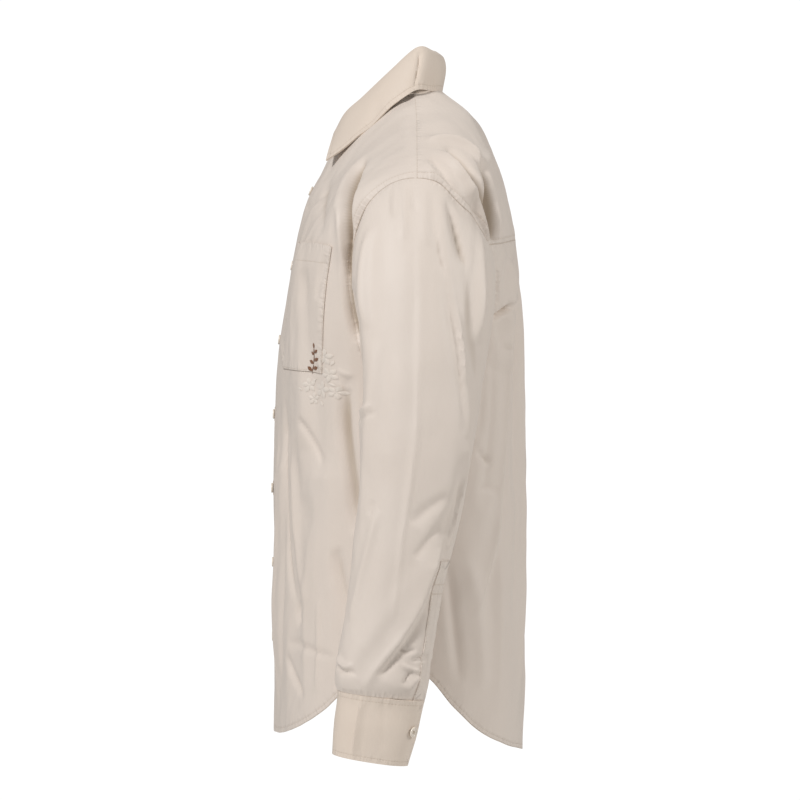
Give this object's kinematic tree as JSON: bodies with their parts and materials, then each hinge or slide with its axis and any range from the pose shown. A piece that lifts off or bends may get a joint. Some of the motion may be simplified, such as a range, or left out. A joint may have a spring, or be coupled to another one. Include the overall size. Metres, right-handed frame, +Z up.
{
  "type": "button-up shirt",
  "caption": "Cream long-sleeved button-up shirt, filled as if worn, with a chest pocket, pointed collar and buttoned cuffs.",
  "frame": {"origin": "middle of the neck opening, level with the highest point of the shoulders beside the collar; the shirt hangs below it", "axes": "+Z up along the wearer's neck, -Y to the wearer's front where the buttons are, +X to the wearer's left"},
  "size_m": [0.676, 0.2896, 0.8007],
  "materials": {
    "cream poplin": "fine smooth cotton with a soft sheen",
    "collar and cuff poplin": "fine smooth cotton, interlined, with a topstitched edge",
    "cream buttons": "semi-gloss, slightly pearly"
  },
  "bodies": {
    "root": {"front_left": "cream poplin", "front_right": "cream poplin", "back": "cream poplin", "yoke": "cream poplin", "sleeve_left": "cream poplin", "sleeve_right": "cream poplin", "sleeve_placket_left": "cream poplin", "sleeve_placket_right": "cream poplin", "cuff_left": "collar and cuff poplin", "cuff_right": "collar and cuff poplin", "collar_stand": "collar and cuff poplin", "collar_leaf": "collar and cuff poplin", "chest_pocket": "cream poplin", "button_front_1": "cream buttons", "button_front_2": "cream buttons", "button_front_3": "cream buttons", "button_front_4": "cream buttons", "button_front_5": "cream buttons", "button_front_6": "cream buttons", "button_front_7": "cream buttons", "button_collar": "cream buttons", "button_cuff_left": "cream buttons", "button_cuff_right": "cream buttons"}
  },
  "joints": []
}
